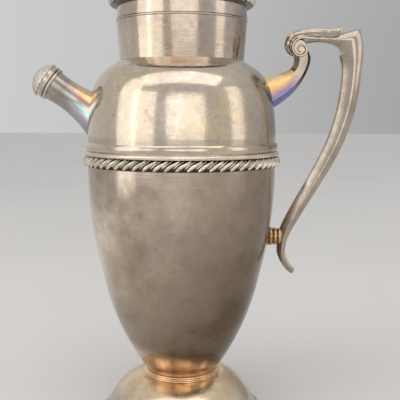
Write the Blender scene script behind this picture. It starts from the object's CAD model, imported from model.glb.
import math

import bmesh
import bpy
from mathutils import Matrix, Vector


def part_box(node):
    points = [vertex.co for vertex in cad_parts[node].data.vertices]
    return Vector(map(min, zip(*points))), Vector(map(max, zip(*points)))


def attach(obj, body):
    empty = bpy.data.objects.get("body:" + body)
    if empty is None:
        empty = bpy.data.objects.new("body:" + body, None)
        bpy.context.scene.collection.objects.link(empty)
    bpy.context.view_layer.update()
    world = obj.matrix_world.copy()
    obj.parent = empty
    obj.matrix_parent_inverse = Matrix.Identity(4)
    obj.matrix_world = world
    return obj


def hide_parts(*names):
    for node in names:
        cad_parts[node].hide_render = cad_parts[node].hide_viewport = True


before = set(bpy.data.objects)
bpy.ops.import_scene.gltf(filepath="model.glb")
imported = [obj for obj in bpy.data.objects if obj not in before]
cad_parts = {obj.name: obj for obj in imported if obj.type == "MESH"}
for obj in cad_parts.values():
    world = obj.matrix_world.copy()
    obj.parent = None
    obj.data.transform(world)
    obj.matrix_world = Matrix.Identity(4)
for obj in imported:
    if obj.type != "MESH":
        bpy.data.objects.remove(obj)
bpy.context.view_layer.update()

MM = 0.001

# Places on the pot in millimetres, the spout's rise in degrees, and directions across and along two tubes
SPOUT_END = (-81.4, 0.0, 215.9)
SPOUT_RISE = 33.5
SPOUT_ACROSS, SPOUT_ALONG = (0.552, 0.0, 0.834), (0.834, 0.0, -0.552)
BRANCH_ROOT = (57.0, 0.0, 211.5)
BRANCH_ACROSS, BRANCH_ALONG = (0.5, 0.0, -0.866), (0.966, 0.0, 0.26)


def heading(degrees):
    """A direction in the pot's middle plane, counted upwards from the handle's side."""
    turn = math.radians(degrees)
    return (math.cos(turn), 0.0, math.sin(turn))


def between(first, second, share):
    return first + (second - first) * share


# Shader nodes

def add_node(tree, kind, links=None, **settings):
    made = tree.nodes.new("ShaderNode" + kind)
    for key, value in settings.items():
        setattr(made, key, value)
    for socket, source in (links or {}).items():
        if isinstance(source, bpy.types.NodeSocket):
            tree.links.new(source, made.inputs[socket])
        else:
            made.inputs[socket].default_value = source
    return made


def new_finish(name):
    """A node material with its tree, its shader and the place of each point in the pot's own frame."""
    finish = bpy.data.materials.new(name)
    finish.use_nodes = True
    tree = finish.node_tree
    place = add_node(tree, "TexCoord").outputs["Object"]
    return finish, tree, tree.nodes["Principled BSDF"], place


def maths(tree, operation, first, second):
    return add_node(tree, "Math", {0: first, 1: second}, operation=operation).outputs[0]


def reach_along(tree, place, direction):
    """How far each point lies along a direction."""
    return add_node(tree, "VectorMath", {0: place, 1: direction}, operation="DOT_PRODUCT").outputs["Value"]


def ramp(tree, source, stops):
    made = add_node(tree, "ValToRGB", {"Fac": source})
    steps = made.color_ramp.elements
    while len(steps) < len(stops):
        steps.new(0.5)
    for step, (place, colour) in zip(steps, stops):
        step.position = place
        step.color = (*colour, 1.0)
    return made.outputs["Color"]


def spread(tree, source, low, high, to_low=0.0, to_high=1.0):
    made = add_node(tree, "MapRange", {0: source, 1: low, 2: high, 3: to_low, 4: to_high})
    return made.outputs[0]


def blend_colour(tree, share, first, second):
    """Lays a second colour, a plain one or a node's, over the first."""
    if not isinstance(second, bpy.types.NodeSocket):
        second = (*second, 1.0)
    return add_node(tree, "Mix", {0: share, 6: first, 7: second}, data_type="RGBA").outputs[2]


def clouds(tree, place, scale, detail=5.0, rough=0.6):
    links = {"Vector": place, "Scale": scale, "Detail": detail, "Roughness": rough}
    return add_node(tree, "TexNoise", links).outputs[0]


def stretched(tree, place, scale, turn=(0.0, 0.0, 0.0)):
    return add_node(tree, "Mapping", {"Vector": place, "Scale": scale, "Rotation": turn}).outputs[0]


# Worn silver

SPECK_SCALE = 9.0
SPECK_COLOUR = (0.16, 0.12, 0.09)
RECESS_COLOUR = (0.06, 0.045, 0.03)
SCRATCH_DEPTH = 0.06
PEBBLE_DEPTH = 0.3
STREAK_WAVE = 3.5


def hairlines(tree, place):
    """Fine polishing scratches in two crossing directions."""
    level = stretched(tree, place, (60.0, 60.0, 2600.0), (0.22, 0.1, 0.0))
    upright = stretched(tree, place, (1900.0, 1900.0, 45.0), (0.12, -0.2, 0.3))
    along = spread(tree, clouds(tree, level, 1.0, 3.0), 0.56, 0.72)
    across = spread(tree, clouds(tree, upright, 1.0, 3.0), 0.57, 0.74)
    return maths(tree, "ADD", along, across)


def recess_shade(tree, place, colour, inner, outer, top):
    """Dirt deep between a ring's lobes: full at the inner radius, gone at the outer one and at the top."""
    level = stretched(tree, place, (1.0, 1.0, 0.0))
    radius = add_node(tree, "VectorMath", {0: level}, operation="LENGTH").outputs["Value"]
    depth = spread(tree, radius, inner * MM, outer * MM, 1.0, 0.0)
    rise = add_node(tree, "SeparateXYZ", {0: place}).outputs["Z"]
    below = spread(tree, rise, (top - 0.3) * MM, (top - 0.1) * MM, 1.0, 0.0)
    return blend_colour(tree, maths(tree, "MULTIPLY", depth, below), colour, RECESS_COLOUR)


def worn_relief(tree, place, speck, lines, scratch, pebble):
    """Pits and scratches, and on a pebbled surface its small round grains."""
    height = maths(tree, "ADD", spread(tree, speck, 0.2, 0.8, 0.0, 0.8), lines)
    dent = add_node(tree, "Bump", {"Height": height, "Strength": scratch, "Distance": SCRATCH_DEPTH * MM})
    if pebble:
        grains = add_node(tree, "TexVoronoi", {"Vector": place, "Scale": pebble}).outputs["Distance"]
        swell = spread(tree, grains, 0.1, 0.7, 1.0, 0.0)
        dent = add_node(tree, "Bump", {"Height": swell, "Normal": dent.outputs[0], "Strength": 0.8,
                                       "Distance": PEBBLE_DEPTH * MM})
    return dent.outputs[0]


def aged_silver(name, clean, dull, cloud, rough, scratch, stains=(), recess=None, pebble=None, grain=0.22):
    """Worn silver plate: cloudy tarnish and dark specks, stains laid over them, and hairline scratches.
    cloud is the tarnish's scale and rough its lowest and highest roughness. A stain is a share function
    with its colour stops, and recess is the inner radius, outer radius and top of recess_shade."""
    finish, tree, skin, place = new_finish(name)
    patch = clouds(tree, place, cloud)
    speck = clouds(tree, place, cloud * SPECK_SCALE, 4.0)
    halfway = [between(a, b, 0.5) for a, b in zip(clean, dull)]
    colour = ramp(tree, patch, ((0.33, dull), (0.52, halfway), (0.68, clean)))
    colour = blend_colour(tree, spread(tree, speck, 0.3, 0.75, grain, 0.0), colour, SPECK_COLOUR)
    for share, stops in stains:
        where, fade = share(tree, place, patch)
        colour = blend_colour(tree, fade, colour, ramp(tree, where, stops))
    if recess:
        colour = recess_shade(tree, place, colour, *recess)
    lines = hairlines(tree, place)
    smoothest, roughest = rough
    worn = spread(tree, maths(tree, "ADD", patch, speck), 0.7, 1.3, roughest, smoothest)
    scratched = spread(tree, lines, 0.0, 1.5, 0.0, 0.12)
    tree.links.new(colour, skin.inputs["Base Color"])
    tree.links.new(maths(tree, "ADD", worn, scratched), skin.inputs["Roughness"])
    tree.links.new(worn_relief(tree, place, speck, lines, scratch, pebble), skin.inputs["Normal"])
    skin.inputs["Metallic"].default_value = 1.0
    return finish


# Stains: each gives where a point lies on the colour stops and how far the stain covers it

def by_slope(direction, start, end, strength):
    """A stain that grows along a direction, broken up by the tarnish clouds."""
    def share(tree, place, patch):
        fade = spread(tree, reach_along(tree, place, direction), start * MM, end * MM, 0.0, strength)
        return patch, maths(tree, "MULTIPLY", fade, spread(tree, patch, 0.32, 0.65, 0.62, 1.1))
    return share


def by_span(origin, across, low, high, along, start, end):
    """A heat-coloured stain in streaks across a tube, fading out from start to end along it."""
    def share(tree, place, patch):
        root = [value * MM for value in origin]
        from_root = add_node(tree, "VectorMath", {0: place, 1: root}, operation="SUBTRACT").outputs[0]
        wave = spread(tree, patch, 0.25, 0.75, -STREAK_WAVE * MM, STREAK_WAVE * MM)
        level = maths(tree, "ADD", reach_along(tree, from_root, across), wave)
        reach = maths(tree, "ADD", reach_along(tree, from_root, along), wave)
        return spread(tree, level, low * MM, high * MM), spread(tree, reach, start * MM, end * MM, 0.9, 0.0)
    return share


def by_wiping(scale, turn, strength):
    """Smears left by a polishing cloth."""
    def share(tree, place, patch):
        wipe = clouds(tree, stretched(tree, place, scale, turn), 1.0, 4.0)
        return patch, spread(tree, wipe, 0.5, 0.68, 0.0, strength)
    return share


def by_film(scale, strength):
    """A thin film of tarnish whose tint changes from patch to patch."""
    def share(tree, place, patch):
        tint = clouds(tree, place, scale, 6.0, 0.7)
        cover = clouds(tree, stretched(tree, place, (1.0, 1.0, 0.7), (0.3, 0.6, 0.2)), scale * 0.6, 4.0)
        return tint, spread(tree, cover, 0.4, 0.6, 0.0, strength)
    return share


FILM_COLOURS = ((0.34, (0.50, 0.33, 0.29)), (0.42, (0.72, 0.57, 0.42)), (0.5, (0.54, 0.50, 0.39)),
                (0.57, (0.78, 0.60, 0.36)), (0.66, (0.46, 0.39, 0.42)))
SPOUT_STREAKS = ((0.0, (0.34, 0.30, 0.28)), (0.30, (0.48, 0.45, 0.54)), (0.43, (0.42, 0.62, 0.60)),
                 (0.55, (0.74, 0.64, 0.55)), (0.68, (0.60, 0.30, 0.24)), (0.80, (0.90, 0.62, 0.28)),
                 (0.95, (0.60, 0.53, 0.46)))
BRANCH_STREAKS = ((0.0, (0.34, 0.27, 0.18)), (0.2, (0.74, 0.50, 0.20)), (0.36, (0.42, 0.25, 0.21)),
                  (0.48, (0.19, 0.155, 0.33)), (0.68, (0.21, 0.24, 0.46)), (0.84, (0.27, 0.48, 0.50)),
                  (1.0, (0.13, 0.12, 0.115)))
COPPER_COLOURS = ((0.3, (0.62, 0.39, 0.25)), (0.7, (0.98, 0.76, 0.55)))
GILT_COLOURS = ((0.3, (0.78, 0.51, 0.29)), (0.7, (1.0, 0.80, 0.52)))
SMEAR_COLOURS = ((0.3, (0.30, 0.24, 0.185)), (0.7, (0.50, 0.42, 0.34)))
BROWN_COLOURS = ((0.35, (0.095, 0.064, 0.042)), (0.65, (0.17, 0.122, 0.084)))

body_silver = aged_silver(
    "body_silver", clean=(0.92, 0.81, 0.68), dull=(0.40, 0.325, 0.255), cloud=30.0,
    rough=(0.06, 0.22), scratch=0.18,
    stains=[(by_film(40.0, 0.3), FILM_COLOURS),
            (by_wiping((70.0, 70.0, 50.0), (0.0, 0.5, 0.0), 0.5), SMEAR_COLOURS),
            (by_slope((0.8, 0.0, -0.6), -110.0, -20.0, 1.1), BROWN_COLOURS),
            (by_wiping((42.0, 42.0, 60.0), (0.0, -0.4, 0.0), 0.14), SMEAR_COLOURS),
            (by_slope((-0.25, 0.0, -1.0), -48.0, -41.0, 0.75), COPPER_COLOURS)])
upper_silver = aged_silver(
    "upper_silver", clean=(0.84, 0.75, 0.64), dull=(0.50, 0.42, 0.34), cloud=30.0,
    rough=(0.06, 0.20), scratch=0.15,
    stains=[(by_film(60.0, 0.7), FILM_COLOURS),
            (by_slope((1.0, 0.0, -0.2), -6.0, 24.0, 0.6), BROWN_COLOURS)])
foot_silver = aged_silver(
    "foot_silver", clean=(0.82, 0.73, 0.61), dull=(0.50, 0.42, 0.33), cloud=40.0,
    rough=(0.10, 0.26), scratch=0.18,
    stains=[(by_slope((0.0, 0.0, 1.0), 15.0, 26.0, 0.9), GILT_COLOURS)])
neck_silver = aged_silver(
    "neck_silver", clean=(0.76, 0.67, 0.58), dull=(0.38, 0.315, 0.265), cloud=34.0,
    rough=(0.06, 0.18), scratch=0.15,
    stains=[(by_film(70.0, 0.65), FILM_COLOURS)])
spout_silver = aged_silver(
    "spout_silver", clean=(0.54, 0.50, 0.47), dull=(0.31, 0.285, 0.265), cloud=44.0,
    rough=(0.10, 0.24), scratch=0.18,
    stains=[(by_span(SPOUT_END, SPOUT_ACROSS, low=-12.0, high=12.0,
                     along=SPOUT_ALONG, start=17.0, end=7.0), SPOUT_STREAKS)])
handle_silver = aged_silver(
    "handle_silver", clean=(0.62, 0.55, 0.46), dull=(0.36, 0.305, 0.25), cloud=46.0,
    rough=(0.06, 0.20), scratch=0.072,
    grain=0.1)
branch_silver = aged_silver(
    "branch_silver", clean=(0.46, 0.41, 0.36), dull=(0.27, 0.23, 0.195), cloud=60.0,
    rough=(0.10, 0.24), scratch=0.09,
    stains=[(by_span(BRANCH_ROOT, BRANCH_ACROSS, low=-9.0, high=16.0,
                     along=BRANCH_ALONG, start=13.0, end=23.0), BRANCH_STREAKS)])
spacer_silver = aged_silver(
    "spacer_silver", clean=(0.80, 0.58, 0.32), dull=(0.40, 0.26, 0.14), cloud=80.0,
    rough=(0.14, 0.32), scratch=0.18)
cap_silver = aged_silver(
    "cap_silver", clean=(0.80, 0.75, 0.67), dull=(0.48, 0.43, 0.37), cloud=70.0,
    rough=(0.14, 0.32), scratch=0.18)
cap_dome_silver = aged_silver(
    "cap_dome_silver", clean=(0.84, 0.80, 0.72), dull=(0.58, 0.53, 0.46), cloud=90.0,
    rough=(0.34, 0.5), scratch=0.18,
    pebble=950.0)
gadroon_silver = aged_silver(
    "gadroon_silver", clean=(0.95, 0.89, 0.78), dull=(0.66, 0.59, 0.50), cloud=90.0,
    rough=(0.2, 0.36), scratch=0.18,
    recess=(61.1, 62.0, 172.4))
lid_gadroon_silver = aged_silver(
    "lid_gadroon_silver", clean=(0.92, 0.86, 0.76), dull=(0.62, 0.56, 0.48), cloud=90.0,
    rough=(0.2, 0.36), scratch=0.18,
    recess=(44.1, 44.9, 270.0))


def cork_finish():
    finish, tree, skin, place = new_finish("cork")
    grain = clouds(tree, place, 900.0, 6.0)
    colour = ramp(tree, grain, ((0.35, (0.20, 0.11, 0.055)), (0.65, (0.52, 0.34, 0.19))))
    dent = add_node(tree, "Bump", {"Height": grain, "Strength": 0.4, "Distance": 0.0005})
    tree.links.new(colour, skin.inputs["Base Color"])
    tree.links.new(dent.outputs[0], skin.inputs["Normal"])
    skin.inputs["Roughness"].default_value = 0.85
    return finish


cork = cork_finish()

FINISHED_NODES = (
    (foot_silver, ("foot_rim", "foot_dome", "finial_nut")),
    (body_silver, ("lower_body",)),
    (upper_silver, ("upper_body", "waist_moulding")),
    (neck_silver, ("neck", "neck_rim", "lid_sleeve", "lid_skirt", "lid_dome", "lid_finial")),
    (spout_silver, ("spout_tube", "spout_strainer")),
    (cap_silver, ("cap_ring",)),
    (cap_dome_silver, ("cap_dome",)),
    (cork, ("cap_liner",)),
    (branch_silver, ("handle_branch",)),
    (spacer_silver, ("lower_spacer",)),
)
for node_finish, node_names in FINISHED_NODES:
    for node_name in node_names:
        for material_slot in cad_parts[node_name].material_slots:
            material_slot.material = node_finish


# Piece tools

SHARP_ANGLE = math.radians(26.0)
MERGE_DISTANCE = 1e-6


def keep(mesh, name, body, finish, node):
    """Turns a finished bmesh into a smooth piece that rides on its body and stands for a node."""
    bmesh.ops.remove_doubles(mesh, verts=mesh.verts, dist=MERGE_DISTANCE)
    bmesh.ops.recalc_face_normals(mesh, faces=mesh.faces)
    for face in mesh.faces:
        face.smooth = True
    for edge in mesh.edges:
        edge.smooth = edge.calc_face_angle(0.0) < SHARP_ANGLE
    data = bpy.data.meshes.new(name)
    mesh.to_mesh(data)
    mesh.free()
    piece = bpy.data.objects.new(name, data)
    bpy.context.scene.collection.objects.link(piece)
    data.materials.append(finish)
    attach(piece, body)
    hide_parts(node)


def outline_loop(mesh, points):
    """A closed loop of (radius, height) points in millimetres, ready to be spun."""
    corners = [mesh.verts.new((radius * MM, 0.0, height * MM)) for radius, height in points]
    return corners, [mesh.edges.new((corners[i - 1], corners[i])) for i in range(len(corners))]


def turned_profile(mesh, points, steps=144):
    """Spins a closed outline once round the upright axis."""
    corners, edges = outline_loop(mesh, points)
    bmesh.ops.spin(mesh, geom=corners + edges, cent=(0, 0, 0), axis=(0, 0, 1), angle=math.tau, steps=steps,
                   use_merge=True)


def half_round(radius, base, height):
    """Points of a half-round edge that stands out to a radius."""
    half = height / 2.0
    turns = [math.radians(angle) for angle in range(-90, 91, 15)]
    return [(radius - half + half * math.cos(turn), base + half + half * math.sin(turn)) for turn in turns]


# Gadroon rings

LOBE_SINK = 1.2
LOBE_SWELL = 0.1
LOBE_SWEEP = 0.22
LOBE_THINNING = 0.16
LOBE_LEAN = 52.0
LOBE_WIDTH = 5.0
REED_RISE = 0.2
REED_DROP = 0.3
REED_WIDTH = 0.44
REED_PLACE = 0.6


def flame_lobes(mesh, count, base, height, core, crest, width, start=0.0):
    """One flame-shaped lobe, full at its foot and drawn out sideways to its tip, repeated round the pot."""
    lobe = bmesh.ops.create_uvsphere(mesh, u_segments=16, v_segments=14, radius=1.0)["verts"]
    half = height / 2.0
    proud = (crest - core) * LOBE_SINK
    drift = half * math.tan(math.radians(LOBE_LEAN))
    for point in lobe:
        rise = point.co.z
        full = 1.0 + LOBE_SWELL * rise - LOBE_SWELL * rise * rise
        point.co.y = point.co.y * width / 2.0 * full + drift * (rise + LOBE_SWEEP * rise * rise)
        point.co.x = crest - proud + point.co.x * proud * (1.0 - LOBE_THINNING * max(rise, 0.0))
        point.co.z = base + half * (1.0 + rise)
    bmesh.ops.scale(mesh, vec=(MM, MM, MM), verts=lobe)
    turn = Matrix.Rotation(math.tau * start / count, 3, "Z")
    bmesh.ops.rotate(mesh, cent=(0, 0, 0), matrix=turn, verts=lobe)
    edges = list({edge for point in lobe for edge in point.link_edges})
    faces = list({face for point in lobe for face in point.link_faces})
    bmesh.ops.spin(mesh, geom=lobe + edges + faces, cent=(0, 0, 0), axis=(0, 0, 1), use_duplicate=True,
                   angle=math.tau * (count - 1) / count, steps=count - 1)


def gadroon_ring(mesh, count, base, height, bore, core, crest):
    """A plain ring with slanted lobes round it and a thin reed between each two."""
    turned_profile(mesh, ((bore, base), (core, base), (core, base + height), (bore, base + height)))
    flame_lobes(mesh, count, base, height, core, crest, LOBE_WIDTH)
    flame_lobes(mesh, count, base + REED_RISE * height, (1.0 - REED_RISE) * height, core, crest - REED_DROP,
                LOBE_WIDTH * REED_WIDTH, REED_PLACE)


BAND_BASE, BAND_HEIGHT, BAND_BORE = 165.8, 6.6, 60.05
BEAD_RADIUS, BEAD_HEIGHT = 62.4, 2.8


def waist_gadroons():
    """The band of lobes at the waist, with the bead that lies on it."""
    mesh = bmesh.new()
    gadroon_ring(mesh, count=60, base=BAND_BASE, height=BAND_HEIGHT, bore=BAND_BORE, core=61.0, crest=63.3)
    bead_base = BAND_BASE + BAND_HEIGHT
    bead = half_round(BEAD_RADIUS, bead_base, BEAD_HEIGHT)
    turned_profile(mesh, [(BAND_BORE, bead_base)] + bead + [(BAND_BORE, bead_base + BEAD_HEIGHT)])
    keep(mesh, "waist_gadroons", "pot", gadroon_silver, "gadroon_band")


def lid_gadroons():
    mesh = bmesh.new()
    gadroon_ring(mesh, count=44, base=265.0, height=5.0, bore=37.85, core=44.2, crest=46.2)
    keep(mesh, "lid_gadroons", "lid", lid_gadroon_silver, "lid_rim")


# Stem

STEM_RINGS = 3
STEM_BORE = 16.0
STEM_RADIUS = 24.4
STEM_STEP = 0.4
STEM_BULGE = 1.4


def ringed_stem():
    """Three small rings, one above the other, between the foot and the body."""
    low, high = [corner[2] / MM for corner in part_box("stem_collar")]
    half = (high - low) / STEM_RINGS / 2.0
    turns = [math.radians(angle) for angle in range(-80, 81, 20)]
    outline = [(STEM_BORE, low)]
    for number in range(STEM_RINGS):
        radius = STEM_RADIUS - STEM_STEP * number
        middle = low + half * (2 * number + 1)
        outline += [(radius + half * STEM_BULGE * math.cos(turn), middle + half * math.sin(turn))
                    for turn in turns]
    mesh = bmesh.new()
    turned_profile(mesh, outline + [(STEM_BORE, high)])
    keep(mesh, "ringed_stem", "pot", foot_silver, "stem_collar")


# Spout nozzle

COLLAR_RADIUS, COLLAR_HEIGHT = 10.9, 2.2
NOZZLE_BORE, NOZZLE_END = 7.4, 6.8
NOZZLE_STEPS = 96
THREAD_ROOT, THREAD_CREST = 8.5, 9.0
THREAD_FOOT = THREAD_ROOT - 0.2
THREAD_START, THREAD_PITCH, THREAD_TURNS = 3.1, 2.0, 1.5
THREAD_RIDGE = ((THREAD_FOOT, -0.65), (THREAD_CREST, -0.12), (THREAD_CREST, 0.12), (THREAD_FOOT, 0.65))
STEPS_PER_TURN = 64


def wind_thread(mesh):
    """A ridge wound up round the nozzle, closed at both ends."""
    corners, start = outline_loop(mesh, [(radius, THREAD_START + rise) for radius, rise in THREAD_RIDGE])
    wound = bmesh.ops.spin(mesh, geom=corners + start, cent=(0, 0, 0), axis=(0, 0, 1),
                           dvec=(0, 0, THREAD_PITCH / STEPS_PER_TURN * MM), angle=math.tau * THREAD_TURNS,
                           steps=round(STEPS_PER_TURN * THREAD_TURNS))
    end = [part for part in wound["geom_last"] if isinstance(part, bmesh.types.BMEdge)]
    for loop in (start, end):
        bmesh.ops.edgeloop_fill(mesh, edges=loop)


def threaded_nozzle():
    """The bead collar at the spout's end and the short nozzle with the screw thread for the cap."""
    mesh = bmesh.new()
    nozzle = [(THREAD_ROOT, COLLAR_HEIGHT), (THREAD_ROOT, NOZZLE_END), (NOZZLE_BORE, NOZZLE_END)]
    collar = half_round(COLLAR_RADIUS, 0.0, COLLAR_HEIGHT)
    turned_profile(mesh, [(NOZZLE_BORE, 0.0)] + collar + nozzle, NOZZLE_STEPS)
    wind_thread(mesh)
    lean = Matrix.Rotation(math.radians(SPOUT_RISE - 90.0), 3, "Y")
    bmesh.ops.rotate(mesh, cent=(0, 0, 0), matrix=lean, verts=mesh.verts)
    bmesh.ops.translate(mesh, vec=[value * MM for value in SPOUT_END], verts=mesh.verts)
    keep(mesh, "threaded_nozzle", "pot", cap_silver, "spout_collar")


# Handle: a station is x, z, lean, width and depth, in millimetres and degrees

def smooth_run(stations, fine=6):
    """Fills in stations between the given ones along a curve that passes through them all."""
    run = []
    for number in range(len(stations) - 1):
        before = stations[max(number - 1, 0)]
        start, end = stations[number], stations[number + 1]
        after = stations[min(number + 2, len(stations) - 1)]
        for step in range(fine):
            t = step / fine
            run.append([0.5 * (2 * b + (c - a) * t + (2 * a - 5 * b + 4 * c - d) * t ** 2
                               + (3 * b - a - 3 * c + d) * t ** 3)
                        for a, b, c, d in zip(before, start, end, after)])
    return run + [list(stations[-1])]


def loft(mesh, half, stations, middle=0.0):
    """Bridges one section after another. half is one side of the section, from the inner edge of the
    casting to its outer edge, as shares of the width and depth, and middle is the section's place in Y."""
    section = list(half) + [(along, -across) for along, across in reversed(half) if across > 0.0]
    rings = []
    for x, z, lean, width, depth in stations:
        level, _, upright = heading(lean)
        corners = [mesh.verts.new(((x + along * width * level) * MM, (middle + across * depth) * MM,
                                   (z + along * width * upright) * MM)) for along, across in section]
        rings.append([mesh.edges.new((corners[i - 1], corners[i])) for i in range(len(corners))])
    for first, second in zip(rings, rings[1:]):
        bmesh.ops.bridge_loops(mesh, edges=first + second)
    for end in (rings[0], rings[-1]):
        bmesh.ops.edgeloop_fill(mesh, edges=end)


def side_disc(mesh, x, z, radius, depth):
    """A disc across the handle, centred on its middle plane."""
    disc = bmesh.ops.create_cone(mesh, cap_ends=True, segments=40, radius1=radius * MM, radius2=radius * MM,
                                 depth=depth * MM)["verts"]
    bmesh.ops.rotate(mesh, cent=(0, 0, 0), matrix=Matrix.Rotation(math.pi / 2, 3, "X"), verts=disc)
    bmesh.ops.translate(mesh, vec=(x * MM, 0.0, z * MM), verts=disc)


CAST_SECTION = ((-0.5, 0.15), (-0.46, 0.24), (0.0, 0.49), (0.03, 0.5), (0.13, 0.5),
                (0.16, 0.49), (0.43, 0.35), (0.49, 0.27), (0.5, 0.2))
LEAF_SECTION = ((-0.5, 0.36), (-0.38, 0.47), (-0.16, 0.43), (0.02, 0.5), (0.26, 0.45),
                (0.2, 0.33), (0.42, 0.25), (0.34, 0.14), (0.5, 0.06), (0.5, 0.0))
BEAD_SECTION = ((-0.5, 0.2), (-0.25, 0.45), (0.25, 0.45), (0.5, 0.2))

CORNER_X, CORNER_Z = 108.4, 242.3
CORNER_LEAN, CORNER_WIDTH = 55.0, 19.6
HANDLE_DEPTH = 11.0
MITRE = (CORNER_X - 1.6, CORNER_Z + 2.06, CORNER_LEAN, CORNER_WIDTH, HANDLE_DEPTH)
MITRE_LAP = 0.6
MITRE_SHARE = 0.97

GRIP_DROP, GRIP_WIDTH = 12.7, 12.8
GRIP_RADIUS, GRIP_BEND = 130.0, 29.5
GRIP_TAPER = 0.62
GRIP_STRAIGHT = 45.5
GRIP_FOOT_WIDTH, GRIP_FOOT_DEPTH = 7.6, 8.4
TAIL_RADIUS = 30.0
FLICK_RADIUS, FLICK_BEND = 19.5, 55.0
TAIL_WIDTH, TAIL_DEPTH = 3.6, 4.6

ARM_LENGTH, ARM_WIDTH, ARM_DEPTH = 32.0, 4.4, 8.6
ARM_RISE = 2.56
ARM_TOP = CORNER_Z + ARM_RISE + ARM_WIDTH / 2.0

VOLUTE_X, VOLUTE_Z = CORNER_X - 34.1, CORNER_Z - 0.8
EYE_X, EYE_Z = VOLUTE_X + 0.9, VOLUTE_Z - 2.2
EYE_RADIUS, EYE_DEPTH = 1.5, 11.0
SPIRAL_START, SPIRAL_STEP, SPIRAL_STATIONS = 84.0, 18.0, 31
SPIRAL_RADIUS, SPIRAL_SHRINKING = 7.0, 0.775
SPIRAL_WIDTH, SPIRAL_THINNING, SPIRAL_DEPTH = 2.1, 0.035, 2.4
SPIRAL_SIDE = 4.5

LEAF_AWAY, LEAF_THICKNESS, LEAF_WIDTH = 7.0, 5.0, 12.4
LEAF_LOBES = 7
LEAF_CUT = 0.1


def grip_stations():
    """The mitred corner, the long bend of the grip, its straight run and the flick of its tail."""
    stations = [MITRE]
    for share in (0.0, 0.33, 0.67, 1.0):
        level, _, upright = heading(GRIP_BEND * share)
        stations.append((CORNER_X - GRIP_RADIUS * (1.0 - level), CORNER_Z - GRIP_DROP - GRIP_RADIUS * upright,
                         -GRIP_BEND * share, between(GRIP_WIDTH, GRIP_FOOT_WIDTH, GRIP_TAPER * share),
                         between(HANDLE_DEPTH, GRIP_FOOT_DEPTH, GRIP_TAPER * share)))
    level, _, upright = heading(GRIP_BEND)
    foot_x = stations[-1][0] - GRIP_STRAIGHT * upright
    foot_z = stations[-1][1] - GRIP_STRAIGHT * level
    stations.append((foot_x, foot_z, -GRIP_BEND, GRIP_FOOT_WIDTH, GRIP_FOOT_DEPTH))
    tail_x = foot_x - TAIL_RADIUS * (1.0 - level)
    tail_z = foot_z - TAIL_RADIUS * upright
    for share in (0.0, 0.4, 0.75, 1.0):
        level, _, upright = heading(FLICK_BEND * share)
        taper = between(0.5, 1.0, share)
        stations.append((tail_x + FLICK_RADIUS * (1.0 - level), tail_z - FLICK_RADIUS * upright,
                         FLICK_BEND * share, between(GRIP_FOOT_WIDTH, TAIL_WIDTH, taper),
                         between(GRIP_FOOT_DEPTH, TAIL_DEPTH, taper)))
    return stations


def arm_stations():
    """From just inside the mitre, level inwards to the volute."""
    x, z, lean, width, depth = MITRE
    level, _, upright = heading(lean)
    stations = [(x + MITRE_LAP * upright, z - MITRE_LAP * level, lean,
                 width * MITRE_SHARE, depth * MITRE_SHARE)]
    for share, rise, narrowing in ((0.32, 2.43, 0.74), (0.64, 3.71, 1.0), (1.0, ARM_RISE, 1.0)):
        stations.append((CORNER_X - ARM_LENGTH * share, CORNER_Z + rise, 90.0,
                         between(GRIP_WIDTH, ARM_WIDTH, narrowing), between(HANDLE_DEPTH, ARM_DEPTH, share)))
    return stations


def spiral_stations():
    """The bead along the arm that winds into the volute round its eye."""
    stations = [(EYE_X + 16.8, EYE_Z + 6.1, 90.0, 0.9, 1.6), (EYE_X + 9.8, EYE_Z + 6.7, 92.0, 1.3, 2.2)]
    for number in range(SPIRAL_STATIONS):
        lean = SPIRAL_START + SPIRAL_STEP * number
        away = SPIRAL_RADIUS * SPIRAL_SHRINKING ** ((lean - 90.0) / 90.0)
        level, _, upright = heading(lean)
        stations.append((EYE_X + away * level, EYE_Z + away * upright, lean,
                         SPIRAL_WIDTH - SPIRAL_THINNING * number, SPIRAL_DEPTH))
    return stations


def leaf_stations():
    """From the leaf's tip under the volute, round the volute and out along the arm to the curled end."""
    stations = [(VOLUTE_X - 4.2, VOLUTE_Z - 5.3, 232.0, 2.2, 5.0),
                (VOLUTE_X - 6.4, VOLUTE_Z - 2.39, 202.0, 4.0, 8.2)]
    for lean, share in ((172.0, 0.85), (138.0, 1.0), (108.0, 1.0)):
        level, _, upright = heading(lean)
        stations.append((VOLUTE_X + LEAF_AWAY * level, VOLUTE_Z + LEAF_AWAY * upright, lean,
                         LEAF_THICKNESS * between(0.5, 1.0, share), LEAF_WIDTH * share))
    for out, rise, lean, thickness, share in ((7.0, 2.44, 94.0, 6.1, 0.98), (16.0, 2.34, 88.0, 6.2, 0.9),
                                              (22.4, 2.44, 96.0, 5.6, 0.72), (27.52, 5.7, 128.0, 2.0, 0.4)):
        stations.append((VOLUTE_X + out, ARM_TOP + rise, lean, thickness, LEAF_WIDTH * share))
    return stations


def to_hundredths(stations):
    return [[round(value, 2) for value in station] for station in stations]


def handle_scroll():
    """The faceted casting: grip, arm, and the volute with its spiral bead on both sides."""
    mesh = bmesh.new()
    loft(mesh, CAST_SECTION, smooth_run(to_hundredths(grip_stations())))
    loft(mesh, CAST_SECTION, smooth_run(to_hundredths(arm_stations())))
    side_disc(mesh, VOLUTE_X - 0.4, VOLUTE_Z - 0.9, radius=4.4, depth=8.0)
    side_disc(mesh, EYE_X, EYE_Z, EYE_RADIUS, EYE_DEPTH)
    for side in (-SPIRAL_SIDE, SPIRAL_SIDE):
        loft(mesh, BEAD_SECTION, smooth_run(spiral_stations(), 2), side)
    keep(mesh, "handle_scroll", "pot", handle_silver, "handle_casting")


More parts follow.
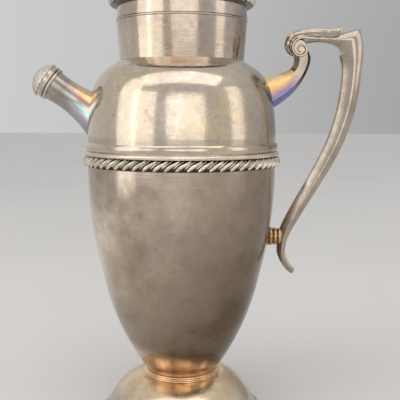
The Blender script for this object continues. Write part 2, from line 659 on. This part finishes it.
def scroll_leaf():
    """The fluted leaf over the scroll, its edge cut into lobes."""
    run = smooth_run(to_hundredths(leaf_stations()), 8)
    for number, station in enumerate(run):
        fullness = abs(math.sin(math.pi * LEAF_LOBES * number / (len(run) - 1)))
        station[4] *= between(1.0 - LEAF_CUT, 1.0, fullness)
    mesh = bmesh.new()
    loft(mesh, LEAF_SECTION, run)
    keep(mesh, "scroll_leaf", "pot", handle_silver, "handle_leaf")


waist_gadroons()
lid_gadroons()
ringed_stem()
threaded_nozzle()
handle_scroll()
scroll_leaf()


# Studio: places and sizes in metres, the lens and its frame in millimetres, turns in degrees

FLOOR_HALF = 6.0
AIM = (0.0, 0.0, 0.17)
WARM, MILD, PALE = (1.0, 0.92, 0.85), (1.0, 0.95, 0.90), (1.0, 0.97, 0.94)
DIM_SIDE = (0.55, 0.83, 0.0)
WORLD_COLOURS = ((0.5, (0.66, 0.655, 0.65)), (0.8, (0.56, 0.56, 0.56)), (1.0, (0.34, 0.34, 0.35)))
FLOOR_COLOURS = ((0.3, (0.74, 0.73, 0.72)), (0.7, (0.78, 0.77, 0.76)))
LENS, FRAME_WIDTH = 61.2, 36.0
CAMERA_PLACE = (0.0, -0.440, 0.1996)
CAMERA_PAN, CAMERA_TILT, CAMERA_ROLL = -1.54, 82.63, 0.25


def pale_floor():
    mesh = bmesh.new()
    bmesh.ops.create_grid(mesh, x_segments=8, y_segments=8, size=FLOOR_HALF)
    data = bpy.data.meshes.new("floor")
    mesh.to_mesh(data)
    mesh.free()
    floor = bpy.data.objects.new("floor", data)
    bpy.context.scene.collection.objects.link(floor)
    finish, tree, skin, place = new_finish("pale_floor")
    tree.links.new(ramp(tree, clouds(tree, place, 3.0), FLOOR_COLOURS), skin.inputs["Base Color"])
    skin.inputs["Roughness"].default_value = 0.9
    skin.inputs["Specular IOR Level"].default_value = 0.1
    data.materials.append(finish)


def softbox(name, place, width, height, power, colour, aim=AIM):
    data = bpy.data.lights.new(name, "AREA")
    data.shape = "RECTANGLE"
    data.size = width
    data.size_y = height
    data.energy = power
    data.color = colour
    lamp = bpy.data.objects.new(name, data)
    lamp.location = place
    lamp.visible_camera = False
    lamp.rotation_euler = (Vector(aim) - Vector(place)).to_track_quat("-Z", "Y").to_euler()
    bpy.context.scene.collection.objects.link(lamp)


def studio_world():
    """A plain grey room that falls off towards one side."""
    world = bpy.data.worlds.new("studio")
    world.use_nodes = True
    tree = world.node_tree
    towards = reach_along(tree, add_node(tree, "TexCoord").outputs["Generated"], DIM_SIDE)
    tree.links.new(ramp(tree, towards, WORLD_COLOURS), tree.nodes["Background"].inputs["Color"])
    bpy.context.scene.world = world


def studio_lamps():
    softbox("front_softbox", (0.2, -2.6, 0.72), width=2.2, height=1.3, power=8.6, colour=WARM)
    softbox("left_front_softbox", (-1.85, -1.7, 0.72), width=1.33, height=1.48, power=5.7, colour=MILD)
    softbox("left_softbox", (-0.62, -0.26, 0.44), width=0.32, height=0.86, power=0.85, colour=PALE,
            aim=(0.0, 0.0, 0.3))
    softbox("right_softbox", (2.1, -0.8, 0.8), width=0.75, height=1.5, power=2.8, colour=(1.0, 0.92, 0.86))
    softbox("top_softbox", (0.0, -0.55, 1.4), width=2.0, height=0.8, power=5.2, colour=PALE)


def photo_camera():
    data = bpy.data.cameras.new("photo_camera")
    data.sensor_width = FRAME_WIDTH
    data.lens = LENS
    camera = bpy.data.objects.new("photo_camera", data)
    bpy.context.scene.collection.objects.link(camera)
    pan = Matrix.Rotation(math.radians(CAMERA_PAN), 3, "Z")
    tilt = Matrix.Rotation(math.radians(CAMERA_TILT), 3, "X")
    roll = Matrix.Rotation(math.radians(CAMERA_ROLL), 3, "Z")
    camera.location = CAMERA_PLACE
    camera.rotation_euler = (pan @ tilt @ roll).to_euler()
    bpy.context.scene.camera = camera


pale_floor()
studio_world()
studio_lamps()
photo_camera()
bpy.context.scene.view_settings.view_transform = "Standard"
